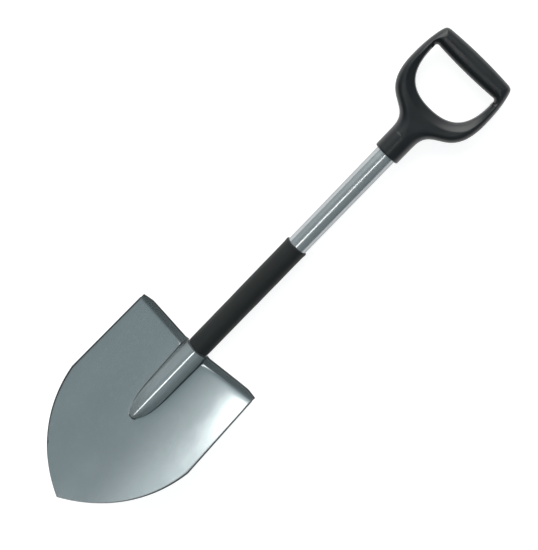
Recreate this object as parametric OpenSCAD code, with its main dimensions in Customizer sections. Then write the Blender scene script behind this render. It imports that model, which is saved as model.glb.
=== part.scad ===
// Round point shovel with a D-shaped handle, lying face up on a flat floor.
// +X runs along the shaft from the blade to the handle, +Y is sideways and +Z is up.
// The origin is under the middle of the whole shovel, at floor level.

/* [Blade] */
// Length of the blade from the lower end of the sleeve to the point, along the blade
blade_len = 280; // [230:1:340]
// Half width of the blade at its upper corners
blade_half_w = 100.5; // [85:0.5:120]
// How much each straight side flares outwards over its length
side_flare = 3; // [0:0.5:6]
// Length of the straight sides, measured like the blade length
side_len = 140; // [120:1:155]
// Radius of the curved edge from each straight side to the point
point_r = 188; // [170:1:230]
// Depth of the dish at the upper corners
dish_depth = 24; // [12:1:30]
// How far the point curls forward out of the straight blade
point_curl = 4; // [0:0.5:8]
// Angle between the blade and the shaft
lift = 18.5; // [12:0.5:24]
// Thickness of the blade sheet
sheet_t = 2; // [1.6:0.1:2.4]
// Depth of the blade below the shaft axis at the sleeve
heel_drop = 24.5; // [22:0.1:28]

/* [Steps] */
// Distance from the sleeve to the fold line next to the frog
fold_back = 23.5; // [18:0.5:30]
// How much the fold line climbs towards the corners, per millimetre of width
fold_slope = 0.12; // [0.05:0.005:0.16]
// Depth of each step next to the frog, from the fold line to the free edge
step_depth = 17; // [12:0.5:20]
// How much each step narrows towards its corner, per millimetre of width
step_taper = 0.037; // [0:0.001:0.06]
// Depth of each step at the very corner of the blade
step_end_depth = 7.5; // [4:0.5:10]
// Angle between each step and the blade
step_angle = 50; // [35:1:60]
// Width of the chamfer at each outer corner of the steps
step_chamfer = 14; // [6:1:20]
// Radius of the free edge where each step meets the frog
step_fillet = 8; // [4:0.5:12]

/* [Frog] */
// Steepness of the sides of the frog, the raised ridge that holds the tube
frog_flank = 82; // [76:1:84]
// Distance from the sleeve to the point of the frog
frog_len = 131; // [115:1:145]
// Distance from the sleeve to where the frog starts to round off
frog_nose_start = 74; // [60:1:90]
// Climb of the crest of the frog towards the point, per millimetre
frog_climb = 0.1; // [0.06:0.005:0.16]

/* [Shaft] */
// Outer diameter of the steel tube
tube_d = 28; // [25:0.5:32]
// Wall of the steel tube
tube_wall = 1.5; // [1:0.1:2.5]
// Length of the tube inside the frog
tube_in_frog = 40; // [30:1:50]
// Length of the bare tube between the sleeve and the handle
bare_len = 161; // [100:1:300]
// Length of the sleeve
sleeve_len = 192; // [120:1:260]
// Wall of the sleeve
sleeve_wall = 1.8; // [1.5:0.1:3.5]
// How much the rolled lips stand out from the sleeve
lip_rise = 0.3; // [0.2:0.1:1]
// Gap between the tube and the pieces that sit on it
fit_gap = 0.15; // [0.1:0.05:0.3]

/* [Handle] */
// Wall of the collar of the handle, round the tube
collar_wall = 3.65; // [3:0.05:7]
// Length of the straight part of the collar
collar_len = 30; // [24:1:40]
// Depth of the tube in the collar
tube_in_collar = 45; // [35:1:55]
// Overall length of the handle from the collar's lower end
handle_len = 160.4; // [145:0.2:180]
// Half width of the handle at its widest place
handle_half_w = 61.3; // [55:0.1:70]
// Distance from the collar's lower end to the widest place
widest_h = 106; // [100:1:110]
// Half width of the grip bar
bar_half_w = 55.5; // [50:0.5:60]
// Thickness of the grip bar in its middle
bar_d = 25.8; // [23:0.2:28]
// How much each side of the grip bar falls back towards its ends
bar_bow = 1.5; // [0:0.1:2.5]
// Distance from the collar's lower end to the bottom of the hand opening
opening_start = 76; // [70:0.5:82]
// Half width of the hand opening
opening_half_w = 48.8; // [44:0.2:50]
// Radius of the two corners of the hand opening next to the grip bar
opening_corner_r = 3.5; // [2:0.5:6]
// Depth of the arms, front to back
arm_depth = 25; // [20:0.5:30]

/* [Rivet] */
// Diameter of the rivet that holds the handle on the tube
rivet_d = 4.8; // [4:0.1:6]
// Diameter of the rivet head
rivet_head_d = 9.5; // [8:0.1:12]
// Distance from the collar's lower end to the rivet
rivet_from_end = 22; // [15:1:26]

/* [Hidden] */
$fn = 72;

tube_r = tube_d / 2;
tube_bore_r = tube_r - tube_wall;
sleeve_r = tube_r + fit_gap + sleeve_wall;
collar_r = tube_r + fit_gap + collar_wall;
// Height of the shaft axis over the floor
shaft_z = collar_r;

// Places along the shaft, from the lower end of the sleeve
collar_x = sleeve_len + bare_len;
handle_end_x = collar_x + handle_len;
point_x = -(blade_len * cos(lift) - point_curl * sin(lift));
// Middle of the whole shovel along the shaft
mid_x = (handle_end_x + point_x) / 2;

// ---- Blade surface ----
kink_half_w = blade_half_w + side_flare;
chord_s = blade_len - side_len;
chord = norm([chord_s, kink_half_w]);
arc_drop = sqrt(point_r * point_r - chord * chord / 4);
arc_mid_s = side_len + chord_s / 2 - arc_drop * kink_half_w / chord;
arc_mid_y = kink_half_w / 2 - arc_drop * chord_s / chord;

dish_r = (blade_half_w * blade_half_w + dish_depth * dish_depth) / (2 * dish_depth);
step_rise = tan(step_angle - lift);
step_reach = cos(step_angle - lift);
// Roundness of the fold and of the foot of the frog
fold_soft = 1.1;
frog_soft = 1.2;
// Bluntness of the point of the frog: 2 is an ellipse seen from above, more is blunter
frog_blunt = 2.6;
// Gap between the upper end of the blade and the sleeve
socket_gap = 0.5;
// Rounded top of the frog, just over the tube, and where its straight flanks begin
frog_r = tube_r + sheet_t + 2 * fit_gap;
flank_y = frog_r * sin(frog_flank);
flank_drop = frog_r * (1 - cos(frog_flank));

// Half width of the blade at the distance s from the sleeve, along the blade
function half_w(s) = s < side_len
    ? blade_half_w + side_flare * s / side_len
    : arc_mid_y + sqrt(max(0, point_r * point_r - pow(s - arc_mid_s, 2)));
function dish(y) = dish_r - sqrt(dish_r * dish_r - y * y);
function smooth_max(a, b, k) = (a + b + sqrt(pow(a - b, 2) + 4 * k * k)) / 2;

// Heights over the shaft axis at the distance d from the sleeve, along the shaft
function blade_z(d, y) = -heel_drop + d * tan(lift) + dish(y) / cos(lift)
    + point_curl * pow(max(0, d) / (blade_len * cos(lift)), 2);
function fold_s(y) = fold_back - fold_slope * abs(y);
function fold_d(y) = fold_s(y) * cos(lift) - dish(y) * sin(lift);
function step_z(d, y) = blade_z(fold_d(y), y) + step_rise * (fold_d(y) - d);
function nose(d) = d < frog_nose_start ? 1
    : pow(max(0.00004, 1 - pow((d - frog_nose_start) / (frog_len - frog_nose_start), frog_blunt)), 1 / frog_blunt);
// Height of the crest over the blade, and the fall from the crest to the width y
function frog_h(d) = frog_r + frog_climb * d - blade_z(d, 0);
function frog_drop(y) = y < flank_y ? frog_r - sqrt(frog_r * frog_r - y * y)
    : flank_drop + (y - flank_y) * tan(frog_flank);
function frog_foot(d) = flank_y + max(0, frog_h(d) - flank_drop) / tan(frog_flank);
function frog_z(d, y) = d > frog_len ? -1000
    : blade_z(d, 0) + frog_h(d) * nose(d) - frog_drop(abs(y) / nose(d));
function surface_z(d, y) = smooth_max(
    smooth_max(blade_z(d, y), step_z(d, y), fold_soft), frog_z(d, y), frog_soft);

// Depth of a step at the width y: nearly even, with a chamfered outer corner
function step_full(y) = step_depth - step_taper * abs(y);
function step_cut(y) = step_end_depth + (blade_half_w - abs(y))
    * (step_full(blade_half_w - step_chamfer) - step_end_depth) / step_chamfer;
function step_d(y) = step_full(y) - smooth_max(0, step_full(y) - step_cut(y), fold_soft / 2);
// Free edge of a step, with a fillet up to the end of the frog
function fillet(y) = let(u = min(1, max(0, (flank_y + step_fillet - abs(y)) / step_fillet)))
    1 - sqrt(1 - u * u);
function edge_d(y) = let(straight = fold_d(y) - step_d(y) * step_reach)
    straight - (straight - socket_gap) * fillet(y);

// Columns of the surface grid: close together over the wall of the frog
wall_cols = [0, 0.28, 0.52, 0.7, 0.82, 0.9, 0.96, 1.01, 1.07, 1.16, 1.3];
open_cols = 9;
n_half = len(wall_cols) + open_cols - 1;
function frog_scale(d) = frog_foot(d) * max(0.4, nose(min(d, frog_len)));
function col_y(c, w, d) = let(
    a = abs(c),
    inner = min(frog_scale(d), w * 0.3),
    last = wall_cols[len(wall_cols) - 1] * inner)
    sign(c) * (a < len(wall_cols) ? wall_cols[a] * inner
        : last + (w - last) * pow((a - len(wall_cols) + 1) / open_cols, 0.9));

// Rows: the steps from the free edge to the fold, then the blade down to the point
step_rows = 5;
blade_rows = [0.01, 0.02, 0.035, 0.055, 0.08, 0.11, 0.15, 0.19, 0.23, 0.27, 0.31, 0.34,
    0.37, 0.395, 0.41, 0.425, 0.44, 0.455, 0.475, 0.51, 0.56, 0.61, 0.66, 0.71, 0.76, 0.81,
    0.855, 0.895, 0.93, 0.96, 0.985];
n_rows = step_rows + 1 + len(blade_rows);

function step_point(i, c) = let(
    y = col_y(c, blade_half_w, 0),
    f = i / step_rows)
    [edge_d(y) + (fold_d(y) - edge_d(y)) * f, y];
function blade_point(f, c) = let(
    s_row = fold_back + (blade_len - fold_back) * f,
    y = col_y(c, half_w(s_row), s_row * cos(lift)),
    s = s_row - (fold_back - fold_s(y)) * pow(1 - f, 3))
    [s * cos(lift) - dish(y) * sin(lift), y];
function grid_point(i, c) = i <= step_rows ? step_point(i, c) : blade_point(blade_rows[i - step_rows - 1], c);

// A surface point, and the point under it on the back of the sheet
function front(p) = [-p[0], p[1], surface_z(p[0], p[1])];
function slope_d(p) = (surface_z(p[0] + 0.2, p[1]) - surface_z(p[0] - 0.2, p[1])) / 0.4;
function slope_y(p) = (surface_z(p[0], p[1] + 0.2) - surface_z(p[0], p[1] - 0.2)) / 0.4;
function back(p) = let(n = [slope_d(p), -slope_y(p), 1])
    front(p) - sheet_t * n / norm(n);

module blade() {
    cols = 2 * n_half + 1;
    grid = [for (i = [0 : n_rows - 1]) for (c = [-n_half : n_half]) grid_point(i, c)];
    tip = [blade_len * cos(lift) - point_curl * sin(lift), 0];
    side = len(grid);
    points = concat([for (p = grid) front(p)], [for (p = grid) back(p)], [front(tip), back(tip)]);
    last = (n_rows - 1) * cols;
    sheet = [for (i = [0 : n_rows - 2]) for (j = [0 : cols - 2]) let(a = i * cols + j)
        each [[a, a + 1, a + cols], [a + 1, a + cols + 1, a + cols]]];
    under = [for (f = sheet) [f[0] + side, f[2] + side, f[1] + side]];
    point_front = [for (j = [0 : cols - 2]) [last + j, last + j + 1, 2 * side]];
    point_back = [for (j = [0 : cols - 2]) [last + j + 1 + side, last + j + side, 2 * side + 1]];
    // Edge of the sheet, once round: free edge, one side, the point and the other side
    loop = concat(
        [for (j = [0 : cols - 1]) j],
        [for (i = [1 : n_rows - 1]) i * cols + cols - 1],
        [2 * side],
        [for (i = [n_rows - 1 : -1 : 1]) i * cols]);
    lower = [for (k = loop) k == 2 * side ? 2 * side + 1 : k + side];
    rim = [for (k = [0 : len(loop) - 1]) let(m = (k + 1) % len(loop))
        each [[loop[k], lower[k], loop[m]], [loop[m], lower[k], lower[m]]]];
    color("slategray") polyhedron(points, concat(sheet, under, point_front, point_back, rim), convexity = 8);
}

module along_shaft(x) {
    translate([x, 0, 0]) rotate([0, 90, 0]) children();
}

module shaft_tube() {
    tube_len = tube_in_frog + collar_x + tube_in_collar;
    color("lightslategray") difference() {
        along_shaft(-tube_in_frog) cylinder(h = tube_len, r = tube_r);
        along_shaft(-tube_in_frog - 1) cylinder(h = tube_len + 2, r = tube_bore_r);
        rivet_place() cylinder(h = collar_r, d = rivet_d + 2 * fit_gap);
    }
}

// Plug that closes the lower end of the tube
plug_depth = 14;
plug_head_t = 2.5;
plug_edge = 1;
module tube_plug() {
    color("dimgray") along_shaft(-tube_in_frog - plug_head_t) rotate_extrude() polygon([
        [0, 0],
        [tube_r - plug_edge, 0],
        [tube_r, plug_edge],
        [tube_r, plug_head_t],
        [tube_bore_r - fit_gap, plug_head_t],
        [tube_bore_r - fit_gap, plug_head_t + plug_depth - plug_edge],
        [tube_bore_r - fit_gap - plug_edge, plug_head_t + plug_depth],
        [0, plug_head_t + plug_depth]]);
}

lip_len = 5;
lip_slope = 2;
sleeve_edge = 0.5;
module grip_sleeve() {
    inner = tube_r + fit_gap;
    color("#232626") along_shaft(0) rotate_extrude() polygon([
        [inner, 0],
        [sleeve_r - sleeve_edge, 0],
        [sleeve_r, sleeve_edge],
        [sleeve_r, sleeve_len - lip_len],
        [sleeve_r + lip_rise, sleeve_len - lip_len + lip_slope],
        [sleeve_r + lip_rise, sleeve_len - sleeve_edge],
        [sleeve_r + lip_rise - sleeve_edge, sleeve_len],
        [inner, sleeve_len]]);
}

// ---- Handle ----
function bezier(p, t) = pow(1 - t, 3) * p[0] + 3 * t * pow(1 - t, 2) * p[1]
    + 3 * t * t * (1 - t) * p[2] + pow(t, 3) * p[3];
// Corner where an arm turns into the grip bar: its size along the arm and along the bar
corner_h = 8.4;
corner_w = 11;
arm_end_h = handle_len - corner_h;
bar_side = bar_half_w - corner_w;
opening_end = handle_len - bar_d;
bar_inner_side = opening_half_w - opening_corner_r;
// Straight stretch of the hand opening's side, below the grip bar
opening_straight = 7.1;
opening_curve_end = opening_end - opening_straight;

// How far each curve of the outline keeps the direction that it starts and ends with
yoke_pull_low = 36;
yoke_pull_high = 62;
arm_pull_low = 16;
arm_pull_high = 13;
opening_pull_w = 35.3;
opening_pull_h = 34;
// Outline curves of one half, as distance from the collar's lower end and half width
yoke_curve = [[collar_len, collar_r], [collar_len + yoke_pull_low, collar_r],
    [widest_h - yoke_pull_high, handle_half_w], [widest_h, handle_half_w]];
arm_curve = [[widest_h, handle_half_w], [widest_h + arm_pull_low, handle_half_w],
    [arm_end_h - arm_pull_high, bar_half_w + arm_pull_high / 3], [arm_end_h, bar_half_w]];
corner_curve = [[arm_end_h, bar_half_w], [arm_end_h + corner_h * 0.6, bar_half_w - corner_w * 0.14],
    [handle_len - bar_bow, bar_side + corner_w * 0.73], [handle_len - bar_bow, bar_side]];
opening_curve = [[opening_start, 0], [opening_start, opening_pull_w],
    [opening_curve_end - opening_pull_h, opening_half_w], [opening_curve_end, opening_half_w]];
curve_steps = 14;
short_steps = 6;
// Places between the middle and the end of the grip bar
bar_steps = [0.8, 0.6, 0.4, 0.2];

function along(curve, n, first) = [for (i = [first : n]) bezier(curve, i / n)];
// One half of the outer outline, from the collar round to the middle of the grip bar
function outer_half() = concat(
    along(yoke_curve, curve_steps, 0),
    along(arm_curve, short_steps, 1),
    along(corner_curve, short_steps, 1),
    [for (f = bar_steps) [handle_len - bar_bow * f * f, bar_side * f]]);
// One half of the hand opening, from its bottom round to the grip bar
function opening_half() = concat(
    along(opening_curve, curve_steps, 0),
    [for (a = [15 : 15 : 90]) [opening_end + bar_bow - opening_corner_r * (1 - sin(a)),
        bar_inner_side + opening_corner_r * cos(a)]],
    [for (f = bar_steps) [opening_end + bar_bow * f * f, bar_inner_side * f]]);
function both_sides(half) = concat(half, [for (i = [len(half) - 1 : -1 : 0]) [half[i][0], -half[i][1]]]);
// Moves each point of a closed outline inwards (or outwards for a negative amount)
function inset(pts, by) = [for (i = [0 : len(pts) - 1]) let(
    a = pts[(i + len(pts) - 1) % len(pts)],
    b = pts[(i + 1) % len(pts)],
    d = (b - a) / max(0.001, norm(b - a)))
    pts[i] + by * [d[1], -d[0]]];

// Layers of the flat part of the handle: share of the depth, and how far its edge is drawn in
layers = [[0.5, 0], [0.68, 0.6], [0.84, 1.6], [0.94, 2.8], [1, 4.2]];
// The opening's edge is drawn in less than the outer edge
opening_share = 0.8;
module arms() {
    for (l = layers) {
        depth = arm_depth * l[0];
        translate([0, 0, -depth / 2]) linear_extrude(depth) difference() {
            polygon(inset(both_sides(outer_half()), l[1]));
            polygon(inset(both_sides(opening_half()), -l[1] * opening_share));
        }
    }
}

// Round core that carries the collar on into the yoke
core_straight = 6;
core_cone = 26;
core_end_gap = 3;
collar_edge = 1.6;
// Room around the head of the rivet in its seat, across and above
head_gap = 0.5;
head_sunk = 0.4;

module d_handle() {
    bore_r = tube_r + fit_gap;
    core_end = opening_start - core_end_gap;
    color("#2b2d2f") translate([collar_x, 0, 0]) difference() {
        union() {
            arms();
            along_shaft(0) rotate_extrude() polygon([
                [0, 0],
                [collar_r - collar_edge, 0],
                [collar_r - collar_edge * 0.3, collar_edge * 0.3],
                [collar_r, collar_edge],
                [collar_r, collar_len + core_straight],
                [arm_depth / 2, collar_len + core_straight + core_cone],
                [arm_depth / 2 - 1, core_end],
                [0, core_end]]);
        }
        along_shaft(-1) cylinder(h = tube_in_collar + 2, r = bore_r);
        translate([-collar_x, 0, 0]) rivet_place() {
            cylinder(h = collar_r, d = rivet_d + 2 * fit_gap);
            translate([0, 0, rivet_seat]) cylinder(h = collar_r, d = rivet_head_d + 2 * head_gap);
        }
    }
}

// ---- Rivet, in from the back of the collar ----
rivet_head_t = 1.5;
rivet_seat = collar_r - rivet_head_t - head_sunk;
// Swollen end of the rivet inside the tube: its rise over the shank and its length
rivet_bulb = 1.6;
rivet_bulb_len = 5;
head_edge = 0.5;
module rivet_place() {
    translate([collar_x + rivet_from_end, 0, 0]) rotate([180, 0, 0]) children();
}

module handle_rivet() {
    inside = tube_bore_r - fit_gap;
    color("silver") rivet_place() rotate_extrude() polygon([
        [0, inside - rivet_bulb_len],
        [rivet_d / 2, inside - rivet_bulb_len],
        [rivet_d / 2 + rivet_bulb, inside - rivet_bulb_len * 0.6],
        [rivet_d / 2 + rivet_bulb, inside - rivet_bulb_len * 0.2],
        [rivet_d / 2, inside],
        [rivet_d / 2, rivet_seat],
        [rivet_head_d / 2, rivet_seat],
        [rivet_head_d / 2, rivet_seat + head_edge],
        [rivet_head_d / 3, rivet_seat + rivet_head_t],
        [0, rivet_seat + rivet_head_t]]);
}

// ---- Weld beads between the tube and the foot of the frog, on the back ----
bead_d = 5;
bead_end_gap = 5;
// Where the bead lies round the tube, down from its side
bead_angle = 34;
// How deep the bead melts into the tube
bead_sink = 0.5;
module socket_welds() {
    bead_r = tube_r + bead_d / 2 - bead_sink;
    bead_len = tube_in_frog - 2 * bead_end_gap;
    color("slategray") difference() {
        for (side = [-1, 1]) translate([0, side * bead_r * cos(bead_angle), -bead_r * sin(bead_angle)]) {
            along_shaft(bead_end_gap - tube_in_frog) cylinder(h = bead_len, d = bead_d);
            for (x = [bead_end_gap - tube_in_frog, -bead_end_gap]) along_shaft(x) sphere(d = bead_d);
        }
        along_shaft(-tube_in_frog - bead_d) cylinder(h = 2 * tube_in_frog, r = tube_r);
    }
}

module placed() {
    translate([-mid_x, 0, shaft_z]) children();
}

placed() blade();
placed() shaft_tube();
placed() socket_welds();
placed() tube_plug();
placed() grip_sleeve();
placed() d_handle();
placed() handle_rivet();
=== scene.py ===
import math
import bmesh
import bpy
import numpy as np
from mathutils import Matrix, Vector


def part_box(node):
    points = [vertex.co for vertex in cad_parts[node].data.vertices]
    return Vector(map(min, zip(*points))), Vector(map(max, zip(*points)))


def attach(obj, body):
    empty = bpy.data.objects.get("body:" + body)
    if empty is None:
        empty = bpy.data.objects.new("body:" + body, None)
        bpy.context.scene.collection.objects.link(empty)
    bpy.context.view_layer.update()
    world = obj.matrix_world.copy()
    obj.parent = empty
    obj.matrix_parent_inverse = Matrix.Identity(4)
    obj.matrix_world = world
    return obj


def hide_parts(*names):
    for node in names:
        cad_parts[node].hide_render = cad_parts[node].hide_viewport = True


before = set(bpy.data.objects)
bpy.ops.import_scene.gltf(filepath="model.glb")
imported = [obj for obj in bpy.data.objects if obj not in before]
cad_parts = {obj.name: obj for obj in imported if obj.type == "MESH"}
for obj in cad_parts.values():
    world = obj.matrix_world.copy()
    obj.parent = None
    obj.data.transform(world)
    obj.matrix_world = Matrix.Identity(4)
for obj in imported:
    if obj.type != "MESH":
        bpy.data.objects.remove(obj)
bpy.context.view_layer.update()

# ---- Places taken from the frame, in metres ----
MM = 0.001
sleeve_low, sleeve_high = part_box("grip_sleeve")
tube_low, tube_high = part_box("shaft_tube")
handle_low, handle_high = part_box("d_handle")
plug_low, plug_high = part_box("tube_plug")
AXIS_Z = (tube_low.z + tube_high.z) / 2

# ---- Sizes along the shaft in millimetres, from the lower end of the sleeve ----
TUBE_R = (tube_high.z - tube_low.z) / 2 / MM
TUBE_START = (tube_low.x - sleeve_low.x) / MM
TUBE_END = (tube_high.x - sleeve_low.x) / MM
SLEEVE_LEN = (sleeve_high.x - sleeve_low.x) / MM
SLEEVE_R = (sleeve_high.z - sleeve_low.z) / 2 / MM - 0.3
COLLAR_X = (handle_low.x - sleeve_low.x) / MM
COLLAR_R = (handle_high.z - handle_low.z) / 2 / MM
HANDLE_LEN = (handle_high.x - handle_low.x) / MM
HANDLE_HALF_W = (handle_high.y - handle_low.y) / 2 / MM
TUBE_WALL = 1.5
FIT_GAP = 0.15
RIVET_H = 22
RIVET_D = 4.8
RIVET_HEAD_D = 9.5
RIVET_SEAT_DEPTH = 1.9
RIVET_SIDES = 64
SEGMENTS = 128
HOLE_SIDES = 48
CUT_SHARP = 32


# ---- Mesh helpers ----
def to_frame(points):
    """Millimetres from the lower end of the sleeve on the shaft axis, to the frame."""
    return np.asarray(points, float) * MM + np.array([sleeve_low.x, 0, AXIS_Z])


def add_mesh(name, points, faces, sharp=40):
    mesh = bpy.data.meshes.new(name)
    mesh.from_pydata([tuple(p) for p in to_frame(points)], [], faces)
    work = bmesh.new()
    work.from_mesh(mesh)
    bmesh.ops.remove_doubles(work, verts=work.verts, dist=1e-6)
    bmesh.ops.dissolve_degenerate(work, edges=work.edges, dist=1e-7)
    bmesh.ops.recalc_face_normals(work, faces=work.faces)
    work.to_mesh(mesh)
    work.free()
    mesh.shade_smooth()
    mesh.set_sharp_from_angle(angle=math.radians(sharp))
    piece = bpy.data.objects.new(name, mesh)
    bpy.context.collection.objects.link(piece)
    return piece


def strips(rows, cols, wrap_cols=False, wrap_rows=False):
    """Quads between the rows of a grid of points."""
    faces = []
    for i in range(rows if wrap_rows else rows - 1):
        for j in range(cols if wrap_cols else cols - 1):
            a, b = i * cols + j, i * cols + (j + 1) % cols
            below = (i + 1) % rows * cols
            faces.append((a, b, below + (j + 1) % cols, below + j))
    return faces


def lathe_points(profile, start=0.0, ripple=None):
    """Rings round the shaft axis: profile is a list of (place along the shaft, radius)."""
    turn = np.linspace(0, 2 * np.pi, SEGMENTS, endpoint=False)
    points = []
    for x, r in profile:
        radius = np.full(SEGMENTS, float(r)) if ripple is None else ripple(x, turn, r)
        along = np.full(SEGMENTS, start + x)
        points.append(np.stack([along, radius * np.cos(turn), radius * np.sin(turn)], 1))
    return np.concatenate(points)


def lathe(name, profile, start=0.0, closed=True, ripple=None, sharp=40):
    points = lathe_points(profile, start, ripple)
    return add_mesh(name, points, strips(len(profile), SEGMENTS, True, closed), sharp)


def rounded(x0, r0, x1, r1, steps=6):
    """Quarter round from (x0, r0) to (x1, r1): leaves along the shaft, arrives square to it."""
    turn = np.linspace(0, np.pi / 2, steps + 1)
    return [(x0 + (x1 - x0) * math.sin(t), r1 + (r0 - r1) * math.cos(t)) for t in turn]


def bezier(curve, count):
    t = np.linspace(0, 1, count)[:, None]
    p = np.array(curve, float)
    return (1 - t) ** 3 * p[0] + 3 * t * (1 - t) ** 2 * p[1] + 3 * t * t * (1 - t) * p[2] + t ** 3 * p[3]


def smooth_step(x, low, high):
    t = np.clip((x - low) / (high - low), 0, 1)
    return t * t * (3 - 2 * t)


def smooth_max(a, b, k):
    return (a + b + np.sqrt((a - b) ** 2 + 4 * k * k)) / 2


def cut(piece, cutter):
    """Takes the cutter out of the piece, and removes the cutter."""
    bpy.context.view_layer.update()
    modifier = piece.modifiers.new("cut", "BOOLEAN")
    modifier.operation = "DIFFERENCE"
    modifier.solver = "EXACT"
    modifier.object = cutter
    result = bpy.data.meshes.new_from_object(piece.evaluated_get(bpy.context.evaluated_depsgraph_get()))
    piece.modifiers.clear()
    piece.data = result
    result.shade_smooth()
    result.set_sharp_from_angle(angle=math.radians(CUT_SHARP))
    bpy.data.objects.remove(cutter)


def rivet_cutter(name, radius, near, far):
    """A round bar that runs in from the back, square to the shaft, at the rivet's place."""
    turn = np.linspace(0, 2 * np.pi, HOLE_SIDES, endpoint=False)
    x = COLLAR_X + RIVET_H + radius * np.cos(turn)
    y = radius * np.sin(turn)
    ends = [np.stack([x, y, np.full(HOLE_SIDES, -z)], 1) for z in (near, far)]
    faces = strips(2, HOLE_SIDES, True)
    faces += [tuple(range(HOLE_SIDES)), tuple(range(2 * HOLE_SIDES - 1, HOLE_SIDES - 1, -1))]
    return add_mesh(name, np.concatenate(ends), faces)


# ---- Blade ----
BLADE_LEN = 280
BLADE_HALF_W = 100.5
SIDE_FLARE = 3
SIDE_LEN = 140
POINT_R = 188
DISH_DEPTH = 24
POINT_CURL = 4
LIFT = math.radians(18.5)
SHEET_T = 2
HEEL_DROP = 24.5
FOLD_BACK = 23.5
FOLD_SLOPE = 0.12
STEP_DEPTH = 17
STEP_TAPER = 0.037
STEP_END_DEPTH = 7.5
STEP_ANGLE = math.radians(50)
STEP_CHAMFER = 14
STEP_FILLET = 8
FROG_FLANK = math.radians(82)
FROG_LEN = 131
FROG_NOSE_START = 74
FROG_CLIMB = 0.1
FOLD_SOFT = 1.1
FROG_SOFT = 1.2
FROG_BLUNT = 2.6
SOCKET_GAP = 0.5
EDGE_ROUND = 0.45
RIM_ANGLES = (30, 60, 90, 120, 150)
SLOPE_STEP = 0.1

FROG_R = TUBE_R + SHEET_T + 2 * FIT_GAP
FLANK_Y = FROG_R * math.sin(FROG_FLANK)
FLANK_DROP = FROG_R * (1 - math.cos(FROG_FLANK))
DISH_R = (BLADE_HALF_W ** 2 + DISH_DEPTH ** 2) / (2 * DISH_DEPTH)
STEP_RISE = math.tan(STEP_ANGLE - LIFT)
STEP_REACH = math.cos(STEP_ANGLE - LIFT)

kink_half_w = BLADE_HALF_W + SIDE_FLARE
chord_s = BLADE_LEN - SIDE_LEN
chord = math.hypot(chord_s, kink_half_w)
arc_drop = math.sqrt(POINT_R ** 2 - chord ** 2 / 4)
ARC_MID_S = SIDE_LEN + chord_s / 2 - arc_drop * kink_half_w / chord
ARC_MID_Y = kink_half_w / 2 - arc_drop * chord_s / chord


def half_w(s):
    if s < SIDE_LEN:
        return BLADE_HALF_W + SIDE_FLARE * s / SIDE_LEN
    return ARC_MID_Y + math.sqrt(max(0, POINT_R ** 2 - (s - ARC_MID_S) ** 2))


def dish(y):
    return DISH_R - np.sqrt(DISH_R ** 2 - y * y)


def blade_z(d, y):
    curl = (np.maximum(0, d) / (BLADE_LEN * math.cos(LIFT))) ** 2
    return -HEEL_DROP + d * math.tan(LIFT) + dish(y) / math.cos(LIFT) + POINT_CURL * curl


def fold_s(y):
    return FOLD_BACK - FOLD_SLOPE * np.abs(y)


def fold_d(y):
    return fold_s(y) * math.cos(LIFT) - dish(y) * math.sin(LIFT)


def step_z(d, y):
    return blade_z(fold_d(y), y) + STEP_RISE * (fold_d(y) - d)


def nose(d):
    along = np.maximum(0, d - FROG_NOSE_START) / (FROG_LEN - FROG_NOSE_START)
    return np.maximum(0.00004, 1 - along ** FROG_BLUNT) ** (1 / FROG_BLUNT)


def frog_h(d):
    return FROG_R + FROG_CLIMB * d - blade_z(d, 0)


def frog_drop(y):
    crown = FROG_R - np.sqrt(FROG_R ** 2 - np.minimum(y, FLANK_Y) ** 2)
    return np.where(y < FLANK_Y, crown, FLANK_DROP + (y - FLANK_Y) * math.tan(FROG_FLANK))


def frog_z(d, y):
    height = blade_z(d, 0) + frog_h(d) * nose(d) - frog_drop(np.abs(y) / nose(d))
    return np.where(d > FROG_LEN, -1000, height)


def surface_z(d, y):
    sheet = smooth_max(blade_z(d, y), step_z(d, y), FOLD_SOFT)
    return smooth_max(sheet, frog_z(d, y), FROG_SOFT)


def step_full(y):
    return STEP_DEPTH - STEP_TAPER * np.abs(y)


def edge_d(y):
    """The free edge of the steps, with chamfered corners and a fillet up to the end of the frog."""
    inner_depth = step_full(BLADE_HALF_W - STEP_CHAMFER)
    chamfer = STEP_END_DEPTH + (BLADE_HALF_W - np.abs(y)) * (inner_depth - STEP_END_DEPTH) / STEP_CHAMFER
    depth = step_full(y) - smooth_max(0, step_full(y) - chamfer, FOLD_SOFT / 2)
    straight = fold_d(y) - depth * STEP_REACH
    u = np.clip((FLANK_Y + STEP_FILLET - np.abs(y)) / STEP_FILLET, 0, 1)
    return straight - (straight - SOCKET_GAP) * (1 - np.sqrt(1 - u * u))


# Columns: spread over the crest of the frog, close together over its wall, then out to the side
CREST_COLS = np.linspace(0, 0.8, 14)
WALL_COLS = np.linspace(0.82, 1.16, 26)
FOOT_COLS = np.linspace(1.19, 1.6, 9)
NEAR_COLS = np.concatenate([CREST_COLS, WALL_COLS, FOOT_COLS])
OPEN_COLS = 44
STEP_ROWS = 18


def columns(width, d):
    at = min(d, FROG_LEN)
    foot = FLANK_Y + max(0.0, float(frog_h(at)) - FLANK_DROP) / math.tan(FROG_FLANK)
    inner = min(foot * max(0.4, float(nose(at))), width * 0.3)
    near = NEAR_COLS * inner
    out = near[-1] + (width - near[-1]) * (np.arange(1, OPEN_COLS + 1) / OPEN_COLS) ** 0.95
    half = np.concatenate([near, out])
    return np.concatenate([-half[:0:-1], half])


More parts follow.
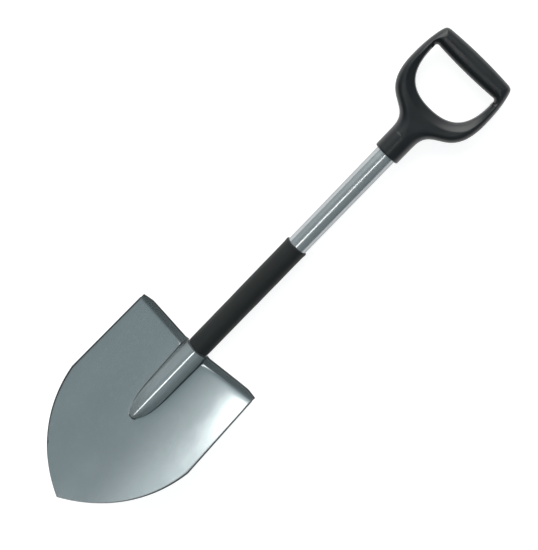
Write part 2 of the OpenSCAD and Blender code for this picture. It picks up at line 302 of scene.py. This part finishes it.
def blade_rows():
    """Rows of (d, y) points: the steps from the free edge to the fold, then down to the point."""
    rows = []
    y = columns(BLADE_HALF_W, 0)
    for f in np.linspace(0, 1, STEP_ROWS):
        f = 1 - (1 - f) ** 1.5
        rows.append((edge_d(y) + (fold_d(y) - edge_d(y)) * f, y))
    below_fold = FOLD_BACK + 0.3 * np.arange(1, 25) ** 1.3
    down_frog = np.arange(below_fold[-1] + 1.6, 100, 1.8)
    round_nose = np.arange(101, 143, 0.6)
    to_point = np.arange(145, 274, 2.4)
    last = np.array([275.5, 277, 278.2, 279.1, 279.7])
    for s_row in np.concatenate([below_fold, down_frog, round_nose, to_point, last]):
        y = columns(half_w(s_row), s_row * math.cos(LIFT))
        f = (s_row - FOLD_BACK) / (BLADE_LEN - FOLD_BACK)
        s = s_row - (FOLD_BACK - fold_s(y)) * (1 - f) ** 3
        rows.append((s * math.cos(LIFT) - dish(y) * math.sin(LIFT), y))
    return np.array([r[0] for r in rows]), np.array([r[1] for r in rows])


def build_blade():
    d, y = blade_rows()
    rows, cols = d.shape
    slope_d = (surface_z(d + SLOPE_STEP, y) - surface_z(d - SLOPE_STEP, y)) / (2 * SLOPE_STEP)
    slope_y = (surface_z(d, y + SLOPE_STEP) - surface_z(d, y - SLOPE_STEP)) / (2 * SLOPE_STEP)
    front = np.stack([-d, y, surface_z(d, y)], -1)
    normal = np.stack([slope_d, -slope_y, np.ones_like(d)], -1)
    normal /= np.linalg.norm(normal, axis=-1, keepdims=True)
    back = front - SHEET_T * normal
    # Rounded rim: rings of points from the front face round to the back
    loop = [(0, j) for j in range(cols - 1)] + [(i, cols - 1) for i in range(rows - 1)]
    loop += [(rows - 1, j) for j in range(cols - 1, 0, -1)] + [(i, 0) for i in range(rows - 1, 0, -1)]
    at = tuple(np.array(loop).T)
    edge, up = front[at], normal[at]
    along = np.roll(edge, -1, 0) - np.roll(edge, 1, 0)
    out = np.cross(along, up)
    out /= np.linalg.norm(out, axis=1, keepdims=True)
    if ((edge - edge.mean(0)) * out).sum() < 0:
        out = -out
    rings = [edge]
    for turn in np.radians(RIM_ANGLES):
        offset = SHEET_T / 2 * (math.cos(turn) - 1) * up + EDGE_ROUND * math.sin(turn) * out
        rings.append(edge + offset)
    rings.append(back[at])
    sheet = strips(rows, cols)
    side = rows * cols
    faces = sheet + [tuple(k + side for k in reversed(f)) for f in sheet]
    rim = strips(len(rings), len(loop), True)
    faces += [tuple(k + 2 * side for k in f) for f in rim]
    points = np.concatenate([front.reshape(-1, 3), back.reshape(-1, 3)] + rings)
    return add_mesh("blade_pressing", points, faces, 50)


# ---- Weld beads: rippled, along both feet of the frog on the back ----
BEAD_R = 2.5
BEAD_ANGLE = math.radians(34)
BEAD_END_GAP = 5
RIPPLE_PITCH = 2.1
RIPPLE_RISE = 0.28
BEAD_SINK = 0.5
BEAD_SIDES = 36


def build_bead(name, side):
    length = -TUBE_START - 2 * BEAD_END_GAP
    start = TUBE_START + BEAD_END_GAP
    centre_r = TUBE_R + BEAD_R - BEAD_SINK
    centre = np.array([side * centre_r * math.cos(BEAD_ANGLE), -centre_r * math.sin(BEAD_ANGLE)])
    turn = np.linspace(0, 2 * np.pi, BEAD_SIDES, endpoint=False)
    points = []
    places = np.concatenate([-BEAD_R * np.cos(np.linspace(0.12, np.pi / 2, 8)),
                             np.linspace(0.25, length - 0.25, 120),
                             length + BEAD_R * np.sin(np.linspace(0, np.pi / 2 - 0.12, 8))])
    for x in places:
        end = max(0, -x, x - length) / BEAD_R
        phase = (x + 0.8 * np.abs(np.sin(turn)) * BEAD_R) / RIPPLE_PITCH
        scallop = 1 - np.abs(np.sin(np.pi * phase))
        r = (BEAD_R - RIPPLE_RISE * scallop) * math.sqrt(max(0.0, 1 - end * end))
        points.append(np.stack([np.full(BEAD_SIDES, start + x),
                                centre[0] + r * np.cos(turn), centre[1] + r * np.sin(turn)], 1))
    count = len(places)
    last = (count - 1) * BEAD_SIDES
    faces = strips(count, BEAD_SIDES, True)
    faces += [tuple(range(BEAD_SIDES)), tuple(range(last + BEAD_SIDES - 1, last - 1, -1))]
    return add_mesh(name, np.concatenate(points), faces, 60)


# ---- Tube, plug and sleeve ----
def build_tube():
    bore = TUBE_R - TUBE_WALL
    soft = 0.35
    spans = np.linspace(TUBE_START + soft, TUBE_END - soft, 90)
    profile = [(x, TUBE_R) for x in spans] + rounded(TUBE_END - soft, TUBE_R, TUBE_END, TUBE_R - soft)[1:]
    profile += [(TUBE_END, bore + soft), (TUBE_END - soft, bore)]
    profile += [(TUBE_START + soft, bore), (TUBE_START, bore + soft), (TUBE_START, TUBE_R - soft)]
    tube = lathe("shaft_tube_steel", profile)
    cut(tube, rivet_cutter("tube_hole", RIVET_D / 2 + FIT_GAP, 4, TUBE_R + 2))
    return tube


def build_plug():
    length = (plug_high.x - plug_low.x) / MM
    start = (plug_low.x - sleeve_low.x) / MM
    head = TUBE_START - start
    stem = TUBE_R - TUBE_WALL - FIT_GAP
    profile = [(0.35, 0.02), (0.35, TUBE_R * 0.35)] + rounded(0.2, TUBE_R * 0.4, 0, TUBE_R * 0.5, 3)
    profile += [(0, TUBE_R - 1.2)]
    profile += [(1 - math.cos(t), TUBE_R - 1 + math.sin(t)) for t in np.radians([10, 30, 50, 70, 90])]
    profile += [(head, TUBE_R), (head, stem), (length - 1, stem), (length, stem - 1), (length, 0.02)]
    return lathe("tube_end_plug", profile, start, True)


LIP_LEN = 5
LIP_RISE = 0.3


def build_sleeve():
    inner = TUBE_R + FIT_GAP
    end = SLEEVE_LEN

    def swell(x, turn, r):
        """A stretched sleeve is never perfectly even: a slow wave of a few hundredths of a millimetre."""
        wave = 0.05 * np.sin(x * 0.061 + 0.6) + 0.035 * np.sin(x * 0.143 + 2 * turn)
        wave = wave * smooth_step(x, 2, 9) * smooth_step(-x, -end + 2, -end + 9)
        return np.where(r > inner + 1, r - 0.05 + wave, r)

    outer = [(x, SLEEVE_R) for x in np.linspace(1.2, end - LIP_LEN - 1, 110)]
    lip_top = SLEEVE_R + LIP_RISE
    lip = [(end - LIP_LEN, SLEEVE_R + 0.02), (end - LIP_LEN + 0.8, SLEEVE_R + 0.16),
           (end - LIP_LEN + 1.6, lip_top - 0.03), (end - LIP_LEN + 2.4, lip_top), (end - 1, lip_top)]
    lip += rounded(end - 1, lip_top, end, lip_top - 0.9)[1:]
    foot = [(1.2 - 1.2 * math.sin(t), SLEEVE_R - 1.0 * (1 - math.cos(t)))
            for t in np.radians([90, 70, 50, 30, 15])]
    profile = foot + outer + lip + [(end, inner), (0, inner)]
    return lathe("grip_sleeve_rubber", profile, 0, True, swell)


# ---- Handle, in millimetres: h from the collar's lower end, w across ----
WIDEST_H = 106
COLLAR_LEN = 30
ARM_END_H = HANDLE_LEN - 8.4
BAR_HALF_W = 55.5
BAR_D = 25.8
BAR_BOW = 1.5
BAR_SIDE = BAR_HALF_W - 11
OPENING_START = 76
OPENING_HALF_W = 48.8
OPENING_CORNER_R = 3.5
OPENING_END = HANDLE_LEN - BAR_D
OPENING_SIDE_END = 127.5
BAR_INNER_SIDE = OPENING_HALF_W - OPENING_CORNER_R
ARM_HALF_DEPTH = 12.5
ARM_ROUND = 10
BAR_HALF_DEPTH = 12.2
RIDGE_FROM_OPENING = 11
OPENING_EDGE_DEPTH = 7.5
TUBE_IN_COLLAR = 46


def outer_curves():
    """Outer outline of one half, in three stretches: end line of the collar, yoke and arm, grip bar."""
    seat = [(COLLAR_LEN, COLLAR_R * math.sin(t)) for t in np.linspace(0, np.pi / 2, 33)]
    yoke = bezier([(COLLAR_LEN, COLLAR_R), (66, COLLAR_R), (44, HANDLE_HALF_W),
                   (WIDEST_H, HANDLE_HALF_W)], 240)
    arm = bezier([(WIDEST_H, HANDLE_HALF_W), (122, HANDLE_HALF_W), (139, HANDLE_HALF_W - 1.7),
                  (ARM_END_H, BAR_HALF_W)], 120)
    corner = bezier([(ARM_END_H, BAR_HALF_W), (HANDLE_LEN - 3.4, BAR_HALF_W - 1.5),
                     (HANDLE_LEN - BAR_BOW - 0.2, BAR_SIDE + 8), (HANDLE_LEN - BAR_BOW, BAR_SIDE)], 60)
    bar = [(HANDLE_LEN - BAR_BOW * f * f, BAR_SIDE * f) for f in np.linspace(1, 0, 90)]
    return np.array(seat), np.concatenate([yoke, arm[1:]]), np.concatenate([corner, bar[1:]])


def inner_curves():
    """Edge of the hand opening of one half, in the same three stretches."""
    curve = bezier([(OPENING_START, 0), (OPENING_START, 35.3), (93.5, OPENING_HALF_W),
                    (OPENING_SIDE_END, OPENING_HALF_W)], 400)
    turn = np.linspace(0, np.pi / 2, 40)
    corner = np.stack([OPENING_END + BAR_BOW - OPENING_CORNER_R * (1 - np.sin(turn)),
                       BAR_INNER_SIDE + OPENING_CORNER_R * np.cos(turn)], 1)
    bar = np.array([(OPENING_END + BAR_BOW * f * f, BAR_INNER_SIDE * f) for f in np.linspace(1, 0, 90)])
    split = 62
    side = np.concatenate([curve[split - 1:], corner[:12]])
    return curve[:split], side, np.concatenate([corner[11:], bar[1:]])


def resample(curve, count):
    length = np.concatenate([[0], np.cumsum(np.linalg.norm(np.diff(curve, axis=0), axis=1))])
    at = np.linspace(0, length[-1], count)
    return np.stack([np.interp(at, length, curve[:, k]) for k in (0, 1)], 1)


def nearest(points, curve):
    """Distance from each point to a dense outline."""
    best = np.full(len(points), 1e9)
    for start in range(0, len(curve), 100):
        gap = points[:, None, :] - curve[None, start:start + 100, :]
        best = np.minimum(best, np.sqrt((gap ** 2).sum(-1)).min(1))
    return best


def round_over(distance, radius):
    """Quarter round: 0 at the edge, 1 from the radius inwards."""
    t = np.clip(distance / radius, 0, 1)
    return np.sqrt(np.maximum(0, 1 - (1 - t) ** 2))


def handle_half_depth(points, outer, inner):
    """Half depth of the moulding at each place: round collar, ridge and bevel on the arms, round bar."""
    h, w = points[:, 0], np.abs(points[:, 1])
    from_outer = nearest(points, outer)
    from_inner = nearest(points, inner)
    yoke = smooth_step(h, COLLAR_LEN - 2, 70)
    bar = smooth_step(h, OPENING_END - 16, OPENING_END + 4)
    top = COLLAR_R + (ARM_HALF_DEPTH - COLLAR_R) * yoke
    reach = COLLAR_R + (ARM_ROUND - COLLAR_R) * yoke
    arm = top * round_over(from_outer, reach)
    ridge = RIDGE_FROM_OPENING - 5.5 * smooth_step(h, 84, 128)
    slope = (ARM_HALF_DEPTH - OPENING_EDGE_DEPTH) / ridge
    cove = slope * from_inner * (0.4 + 0.6 * from_inner / ridge)
    bevel = OPENING_EDGE_DEPTH * round_over(from_inner, 2.2) + cove + 20 * smooth_step(-h, -58, -40)
    ridged = -smooth_max(-arm, -bevel, 0.35)
    ridged = np.minimum(ridged, top * round_over(from_outer, reach))
    r = BAR_D / 2
    barrel = BAR_HALF_DEPTH * np.minimum(round_over(from_outer, r), round_over(from_inner, r))
    return np.maximum(0, ridged * (1 - bar) + barrel * bar)


def build_handle():
    across = 44
    counts = (33, 150, 90)
    outer_parts, inner_parts = outer_curves(), inner_curves()
    outer_line, inner_line = np.concatenate(outer_parts[1:]), np.concatenate(inner_parts)
    mirror = np.array([1, -1])
    outer_all = np.concatenate([outer_line, outer_line * mirror])
    inner_all = np.concatenate([inner_line, inner_line * mirror])
    starts, ends = [], []
    for k, count in enumerate(counts):
        first = 0 if k == 0 else 1
        outer_piece = outer_parts[0] if k == 0 else resample(outer_parts[k], count)
        ends.append(outer_piece[first:])
        starts.append(resample(inner_parts[k], count)[first:])
    starts, ends = np.concatenate(starts), np.concatenate(ends)
    starts = np.concatenate([starts, starts[-2:0:-1] * mirror])
    ends = np.concatenate([ends, ends[-2:0:-1] * mirror])
    share = (1 - np.cos(np.linspace(0, np.pi, across))) / 2
    plan = starts[:, None, :] + (ends - starts)[:, None, :] * share[None, :, None]
    flat = plan.reshape(-1, 2)
    depth = handle_half_depth(flat, outer_all, inner_all)
    on_seat = np.abs(flat[:, 0] - COLLAR_LEN) < 1e-6
    depth = np.where(on_seat, np.sqrt(np.maximum(0, COLLAR_R ** 2 - flat[:, 1] ** 2)), depth)
    rim = np.zeros(plan.shape[:2], bool)
    rim[:, 0] = True
    rim[:, -1] = ~on_seat.reshape(plan.shape[:2])[:, -1]
    depth[rim.reshape(-1)] = 0
    x = COLLAR_X + flat[:, 0]
    top = np.stack([x, flat[:, 1], depth], 1)
    bottom = np.stack([x, flat[:, 1], -depth], 1)
    grid = strips(len(plan), across, False, True)
    faces = grid + [tuple(k + len(top) for k in reversed(f)) for f in grid]
    body_points = np.concatenate([top, bottom])
    # Collar: rings that carry on from the seat circle, a rounded end, and the bore for the tube
    turn = np.linspace(0, 2 * np.pi, SEGMENTS, endpoint=False)
    bore = TUBE_R + FIT_GAP
    profile = [(x, COLLAR_R) for x in np.linspace(COLLAR_LEN, 2.2, 12)]
    profile += rounded(2.2, COLLAR_R, 0, COLLAR_R - 2.2, 7)[1:]
    profile += [(0, bore + 0.5), (0.5, bore), (TUBE_IN_COLLAR / 2, bore), (TUBE_IN_COLLAR, bore),
                (TUBE_IN_COLLAR, 0.02)]
    rings = [np.stack([np.full(SEGMENTS, COLLAR_X + x), r * np.cos(turn), r * np.sin(turn)], 1)
             for x, r in profile]
    collar_faces = strips(len(profile), SEGMENTS, True)
    last = (len(profile) - 1) * SEGMENTS
    collar_faces.append(tuple(range(last, last + SEGMENTS)))
    offset = len(body_points)
    faces += [tuple(k + offset for k in f) for f in collar_faces]
    handle = add_mesh("d_handle_moulding", np.concatenate([body_points] + rings), faces, 38)
    cut(handle, rivet_cutter("rivet_hole", RIVET_D / 2 + FIT_GAP, 10, COLLAR_R + 3))
    cut(handle, rivet_cutter("rivet_seat", RIVET_HEAD_D / 2 + 0.5, COLLAR_R - RIVET_SEAT_DEPTH, COLLAR_R + 3))
    return handle


# ---- Rivet: a domed head with the dimple of its pulled stem ----
def build_rivet():
    seat = COLLAR_R - RIVET_SEAT_DEPTH
    inside = TUBE_R - TUBE_WALL - FIT_GAP
    head = RIVET_HEAD_D / 2
    shank = RIVET_D / 2
    profile = [(inside - 5, 0.02), (inside - 5, shank - 0.4), (inside - 4.6, shank),
               (inside - 3.4, shank + 1.3), (inside - 2, shank + 1.6), (inside - 0.9, shank + 1.4),
               (inside, shank), (seat, shank),
               (seat, head - 0.1), (seat + 0.25, head)]
    dome = np.linspace(0, np.pi / 2, 9)[1:]
    profile += [(seat + 0.25 + 1.25 * math.sin(t) * (1 - 0.15 * math.sin(t)),
                 1.3 + (head - 1.3) * math.cos(t)) for t in dome]
    profile += [(seat + 1.0, 1.15), (seat + 0.7, 0.9), (seat + 0.65, 0.02)]
    turn = np.linspace(0, 2 * np.pi, RIVET_SIDES, endpoint=False)
    rings = [np.stack([COLLAR_X + RIVET_H + r * np.cos(turn), r * np.sin(turn), np.full(RIVET_SIDES, -z)], 1)
             for z, r in profile]
    faces = strips(len(profile), RIVET_SIDES, True)
    last = (len(profile) - 1) * RIVET_SIDES
    faces += [tuple(range(RIVET_SIDES)), tuple(range(last, last + RIVET_SIDES))]
    return add_mesh("handle_rivet_steel", np.concatenate(rings), faces, 50)


# ---- Materials ----
class Finish:
    """A Principled material with helpers for noise in object space."""

    def __init__(self, name, colour, roughness, metallic=0.0, coat=0.0, coat_roughness=0.1, specular=0.5):
        self.material = bpy.data.materials.new(name)
        self.material.use_nodes = True
        self.tree = self.material.node_tree
        self.shader = self.tree.nodes["Principled BSDF"]
        self.colour = colour
        self.shader.inputs["Base Color"].default_value = (*colour, 1)
        self.shader.inputs["Roughness"].default_value = roughness
        self.shader.inputs["Metallic"].default_value = metallic
        self.shader.inputs["Coat Weight"].default_value = coat
        self.shader.inputs["Coat Roughness"].default_value = coat_roughness
        self.shader.inputs["Specular IOR Level"].default_value = specular
        self.place = self.tree.nodes.new("ShaderNodeTexCoord").outputs["Object"]
        self.height = None

    def node(self, kind, **values):
        node = self.tree.nodes.new(kind)
        for key, value in values.items():
            setattr(node, key, value)
        return node

    def link(self, source, target):
        self.tree.links.new(source, target)

    def stretched(self, scale):
        """Object coordinates, stretched by a scale for each axis."""
        mapping = self.node("ShaderNodeMapping")
        mapping.inputs["Scale"].default_value = scale
        self.link(self.place, mapping.inputs["Vector"])
        return mapping.outputs["Vector"]

    def noise(self, scale, detail=3.0, roughness=0.5, stretch=None):
        noise = self.node("ShaderNodeTexNoise")
        noise.inputs["Scale"].default_value = scale
        noise.inputs["Detail"].default_value = detail
        noise.inputs["Roughness"].default_value = roughness
        self.link(self.place if stretch is None else self.stretched(stretch), noise.inputs["Vector"])
        return noise.outputs["Fac"]

    def voronoi(self, scale):
        cells = self.node("ShaderNodeTexVoronoi", feature="SMOOTH_F1")
        cells.inputs["Scale"].default_value = scale
        self.link(self.place, cells.inputs["Vector"])
        return cells.outputs["Distance"]

    def remap(self, value, low, high, new_low, new_high):
        node = self.node("ShaderNodeMapRange")
        names = ("From Min", "From Max", "To Min", "To Max")
        for name, number in zip(names, (low, high, new_low, new_high)):
            node.inputs[name].default_value = number
        self.link(value, node.inputs["Value"])
        return node.outputs["Result"]

    def math(self, operation, a, b):
        node = self.node("ShaderNodeMath", operation=operation)
        for socket, value in zip(node.inputs, (a, b)):
            if isinstance(value, (int, float)):
                socket.default_value = value
            else:
                self.link(value, socket)
        return node.outputs["Value"]

    def tint(self, factor, colour):
        """Mixes another colour into the base colour by a factor."""
        mix = self.node("ShaderNodeMix", data_type="RGBA")
        base = self.shader.inputs["Base Color"]
        if base.links:
            self.link(base.links[0].from_socket, mix.inputs["A"])
        else:
            mix.inputs["A"].default_value = (*self.colour, 1)
        mix.inputs["B"].default_value = (*colour, 1)
        self.link(factor, mix.inputs["Factor"])
        self.link(mix.outputs["Result"], base)

    def vary_roughness(self, value, low, high, new_low, new_high):
        self.link(self.remap(value, low, high, new_low, new_high), self.shader.inputs["Roughness"])

    def bump(self, height, distance, strength=1.0, coat=False):
        bump = self.node("ShaderNodeBump")
        bump.inputs["Distance"].default_value = distance
        bump.inputs["Strength"].default_value = strength
        self.link(height, bump.inputs["Height"])
        if self.height is not None:
            self.link(self.height, bump.inputs["Normal"])
        self.height = bump.outputs["Normal"]
        self.link(self.height, self.shader.inputs["Normal"])
        if coat:
            self.link(self.height, self.shader.inputs["Coat Normal"])

    def near_axis(self, inner, outer):
        """1 close to the plane through the shaft, and 0 beyond the outer distance to either side."""
        split = self.node("ShaderNodeSeparateXYZ")
        self.link(self.place, split.inputs["Vector"])
        return self.remap(self.math("ABSOLUTE", split.outputs["Y"], 0), inner, outer, 1.0, 0.0)

    def edges(self, low, high):
        """A mask of convex edges, or of creases when low is above high."""
        point = self.node("ShaderNodeNewGeometry").outputs["Pointiness"]
        return self.remap(point, low, high, 0.0, 1.0)


METALLIC = 0.85
COAT = 0.45
# Tint of the lacquer's reflections at grazing angles
GRAZING_TINT = (0.3, 0.33, 0.34)
# Pointiness over which the painted shade on convex edges and in creases fades in, and the strip beside the
# frog that holds the crease shade, in metres
PAINTED_RIM_SHADE = (0.503, 0.522)
PAINTED_CREASE_SHADE = (0.4975, 0.487)
FROG_STRIP = (0.021, 0.03)
# Metallic and coat left under the painted shade on edges and creases
PAINTED_SHADE_SHINE = 0.1


def lacquer(name, colour, roughness, coat_roughness):
    """Metallic lacquer on steel: faint mottling, orange peel, and painted shade that darkens the convex edges
    and the creases beside the frog.
    """
    finish = Finish(name, colour, roughness, METALLIC, COAT, coat_roughness)
    finish.shader.inputs["Specular Tint"].default_value = (*GRAZING_TINT, 1)
    paler = tuple(min(1, c * 1.12 + 0.01) for c in colour)
    darker = tuple(c * 0.9 for c in colour)
    finish.tint(finish.remap(finish.noise(9, 4), 0.42, 0.7, 0, 0.55), darker)
    finish.tint(finish.remap(finish.noise(160, 5, 0.6), 0.5, 0.75, 0, 0.35), paler)
    finish.vary_roughness(finish.noise(38, 6, 0.6), 0.3, 0.7, roughness * 0.9, roughness * 1.15)
    # Painted shade: the creases at the foot of the frog and the convex edges are darkened to a tenth of the
    # colour, with less metallic and coat
    foot = finish.edges(*PAINTED_CREASE_SHADE)
    rim_shade = finish.edges(*PAINTED_RIM_SHADE)
    painted_shade = finish.math("MAXIMUM", rim_shade, finish.math("MULTIPLY", foot, finish.near_axis(*FROG_STRIP)))
    finish.tint(painted_shade, tuple(c * 0.1 for c in colour))
    finish.link(finish.remap(painted_shade, 0, 1, METALLIC, PAINTED_SHADE_SHINE), finish.shader.inputs["Metallic"])
    finish.link(finish.remap(painted_shade, 0, 1, COAT, PAINTED_SHADE_SHINE), finish.shader.inputs["Coat Weight"])
    finish.bump(finish.noise(260, 2, 0.4), 0.00004, 0.15, True)
    finish.bump(finish.noise(900, 3, 0.5), 0.00001, 0.3)
    return finish.material


def sleeve_finish():
    """Stretched rubber: matte, finely pored, with faint lengthwise streaks and a dusty bloom."""
    finish = Finish("sleeve_rubber", (0.011, 0.013, 0.0125), 0.6, specular=0.32)
    streaks = finish.noise(40, 5, 0.6, (0.15, 1.6, 1.6))
    finish.tint(finish.remap(streaks, 0.4, 0.75, 0, 0.6), (0.021, 0.025, 0.024))
    finish.tint(finish.remap(finish.noise(14, 3), 0.5, 0.8, 0, 0.5), (0.012, 0.015, 0.014))
    finish.vary_roughness(streaks, 0.3, 0.7, 0.54, 0.7)
    finish.bump(finish.voronoi(1500), 0.00012, 0.25)
    finish.bump(finish.noise(700, 4, 0.6), 0.0001, 0.3)
    return finish.material


def handle_finish():
    """Moulded plastic: satin black with a spark-eroded grain and a painted sheen, the convex edges lightened
    in colour.
    """
    finish = Finish("handle_plastic", (0.007, 0.009, 0.0105), 0.3, specular=0.5)
    cloud = finish.noise(22, 4, 0.55)
    finish.tint(finish.remap(cloud, 0.4, 0.75, 0, 0.6), (0.012, 0.0145, 0.016))
    finish.vary_roughness(cloud, 0.3, 0.7, 0.3, 0.42)
    # Painted sheen: convex edges are lightened in colour
    finish.tint(finish.edges(0.52, 0.6), (0.06, 0.065, 0.067))
    finish.bump(finish.voronoi(1300), 0.00008, 0.2)
    finish.bump(finish.noise(1100, 3, 0.6), 0.00006, 0.25)
    return finish.material


def plug_finish():
    finish = Finish("plug_plastic", (0.03, 0.031, 0.033), 0.5)
    finish.tint(finish.remap(finish.noise(120, 4), 0.4, 0.7, 0, 0.6), (0.05, 0.052, 0.054))
    finish.bump(finish.noise(900, 3), 0.00008, 0.3)
    return finish.material


def rivet_finish():
    """Zinc-plated steel: drawn lines and a little dulling."""
    finish = Finish("rivet_steel", (0.56, 0.57, 0.58), 0.32, 1.0)
    lines = finish.noise(500, 3, 0.6, (1.0, 0.12, 1.0))
    finish.tint(finish.remap(finish.noise(300, 4), 0.45, 0.75, 0, 0.7), (0.36, 0.36, 0.35))
    finish.vary_roughness(lines, 0.3, 0.7, 0.24, 0.46)
    finish.bump(lines, 0.00004, 0.4)
    return finish.material


# Glow of the floor in the middle and far out, and the distances in metres between which it falls
FLOOR_GLOW = 0.84
FLOOR_FAR_GLOW = 0.1
FLOOR_LIT = 0.7
FLOOR_DIM = 1.9
FLOOR_HALF = 40.0


def floor_finish():
    """A pale floor that glows of itself round the shovel, so that shadows on it stay faint."""
    finish = Finish("floor_pale", (0.4, 0.4, 0.4), 0.9, specular=0.1)
    finish.shader.inputs["Emission Color"].default_value = (1, 1, 1, 1)
    far = finish.node("ShaderNodeVectorMath", operation="LENGTH")
    finish.link(finish.place, far.inputs[0])
    glow = finish.remap(far.outputs["Value"], FLOOR_LIT, FLOOR_DIM, FLOOR_GLOW, FLOOR_FAR_GLOW)
    finish.link(glow, finish.shader.inputs["Emission Strength"])
    return finish.material


# ---- The pieces, each riding on the one body ----
def keep(piece, node, material):
    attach(piece, "root")
    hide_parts(node)
    piece.data.materials.clear()
    piece.data.materials.append(material)


blade_paint = lacquer("blade_paint", (0.53, 0.575, 0.585), 0.15, 0.05)
tube_paint = lacquer("tube_paint", (0.52, 0.54, 0.55), 0.22, 0.05)
keep(build_blade(), "blade", blade_paint)
keep(build_bead("weld_bead_left", 1), "socket_welds", blade_paint)
keep(build_bead("weld_bead_right", -1), "socket_welds", blade_paint)
keep(build_tube(), "shaft_tube", tube_paint)
keep(build_plug(), "tube_plug", plug_finish())
keep(build_sleeve(), "grip_sleeve", sleeve_finish())
keep(build_handle(), "d_handle", handle_finish())
keep(build_rivet(), "handle_rivet", rivet_finish())


# ---- Floor ----
def add_floor():
    size = FLOOR_HALF
    mesh = bpy.data.meshes.new("floor")
    corners = [(-size, -size, 0), (size, -size, 0), (size, size, 0), (-size, size, 0)]
    mesh.from_pydata(corners, [], [(0, 1, 2, 3)])
    floor = bpy.data.objects.new("floor", mesh)
    bpy.context.collection.objects.link(floor)
    mesh.materials.append(floor_finish())


add_floor()

# ---- Light: a dim studio dome with soft-edged light boxes on it ----
DIM = 0.1
# Each box: direction, radiance, and the angles where it starts to fade and where it has faded out
SKY_BOXES = {
    "overhead": ((0.1, 0.0, 1.0), 0.21, 20, 75),
    "far_side": ((0.3, 0.93, 0.2), 0.32, 10, 62),
    "near_side": ((0.2, -0.97, 0.1), 0.14, 10, 60),
}
KEY_BOXES = {
    "key": ((0.6, 0.645, 0.475), 3.3, 27.5, 30.5),
    "key_glow": ((0.6, 0.645, 0.475), 0.24, 32, 52),
}
SKY_TINT = (0.82, 1.0, 1.06)
KEY_TINT = (1.03, 1.0, 0.98)
# Strip light overhead: its place and half size on a ceiling one metre up, soft edge, radiance
STRIP_X, STRIP_Y = -0.43, 0.0
STRIP_HALF_X, STRIP_HALF_Y = 0.42, 0.035
STRIP_SOFT = 0.04
STRIP = 4.5


def add_world():
    world = bpy.data.worlds.new("studio")
    bpy.context.scene.world = world
    world.use_nodes = True
    nodes, links = world.node_tree.nodes, world.node_tree.links
    direction = nodes.new("ShaderNodeTexCoord").outputs["Generated"]

    def combine(operation, a, b):
        node = nodes.new("ShaderNodeMath")
        node.operation = operation
        for socket, value in zip(node.inputs, (a, b)):
            if isinstance(value, (int, float)):
                socket.default_value = value
            else:
                links.new(value, socket)
        return node.outputs["Value"]

    def fade(value, low, high, top):
        """Rises smoothly from 0 at low to top at high."""
        node = nodes.new("ShaderNodeMapRange")
        node.interpolation_type = "SMOOTHSTEP"
        for name, number in zip(("From Min", "From Max", "To Max"), (low, high, top)):
            node.inputs[name].default_value = number
        links.new(value, node.inputs["Value"])
        return node.outputs["Result"]

    def box(centre, radiance, inner, outer):
        facing = nodes.new("ShaderNodeVectorMath")
        facing.operation = "DOT_PRODUCT"
        facing.inputs[1].default_value = Vector(centre).normalized()
        links.new(direction, facing.inputs[0])
        low, high = math.cos(math.radians(outer)), math.cos(math.radians(inner))
        return fade(facing.outputs["Value"], low, high, radiance)

    def strip():
        split = nodes.new("ShaderNodeSeparateXYZ")
        links.new(direction, split.inputs["Vector"])
        above = combine("MAXIMUM", split.outputs["Z"], 0.05)
        inside = STRIP
        for axis, place, half in (("X", STRIP_X, STRIP_HALF_X), ("Y", STRIP_Y, STRIP_HALF_Y)):
            on_ceiling = combine("DIVIDE", split.outputs[axis], above)
            off = combine("ABSOLUTE", combine("SUBTRACT", on_ceiling, place), 0)
            near = fade(combine("MULTIPLY", off, -1.0), -half - STRIP_SOFT, -half, 1.0)
            inside = combine("MULTIPLY", near, inside)
        return inside

    sky, key = DIM, strip()
    for light in SKY_BOXES.values():
        sky = combine("ADD", box(*light), sky)
    for light in KEY_BOXES.values():
        key = combine("ADD", box(*light), key)
    total = combine("ADD", sky, key)
    colour = nodes.new("ShaderNodeMix")
    colour.data_type = "RGBA"
    colour.inputs["A"].default_value = (*SKY_TINT, 1)
    colour.inputs["B"].default_value = (*KEY_TINT, 1)
    links.new(combine("DIVIDE", key, total), colour.inputs["Factor"])
    links.new(colour.outputs["Result"], nodes["Background"].inputs["Color"])
    links.new(total, nodes["Background"].inputs["Strength"])


add_world()
bpy.context.scene.view_settings.view_transform = "Standard"


# ---- Camera: over the handle, looking a little towards the blade ----
CAMERA_PLACE = Vector((sleeve_low.x + 0.42824, 0.05797, 1.15492))
CAMERA_TARGET = Vector((sleeve_low.x + 0.13876, -0.0003, 0.01825))
CAMERA_ROLL = 0.77084
CAMERA_LENS = 60.76
SENSOR = 36.0


def add_camera():
    data = bpy.data.cameras.new("camera")
    data.lens = CAMERA_LENS
    data.sensor_fit = "HORIZONTAL"
    data.sensor_width = SENSOR
    camera = bpy.data.objects.new("camera", data)
    bpy.context.collection.objects.link(camera)
    look = (CAMERA_TARGET - CAMERA_PLACE).normalized()
    side = look.cross(Vector((1, 0, 0))).normalized()
    up = side.cross(look)
    turn_c, turn_s = math.cos(CAMERA_ROLL), math.sin(CAMERA_ROLL)
    right = side * turn_c + up * turn_s
    top = up * turn_c - side * turn_s
    axes = Matrix((right, top, -look)).transposed()
    camera.matrix_world = Matrix.Translation(CAMERA_PLACE) @ axes.to_4x4()
    bpy.context.scene.camera = camera


add_camera()
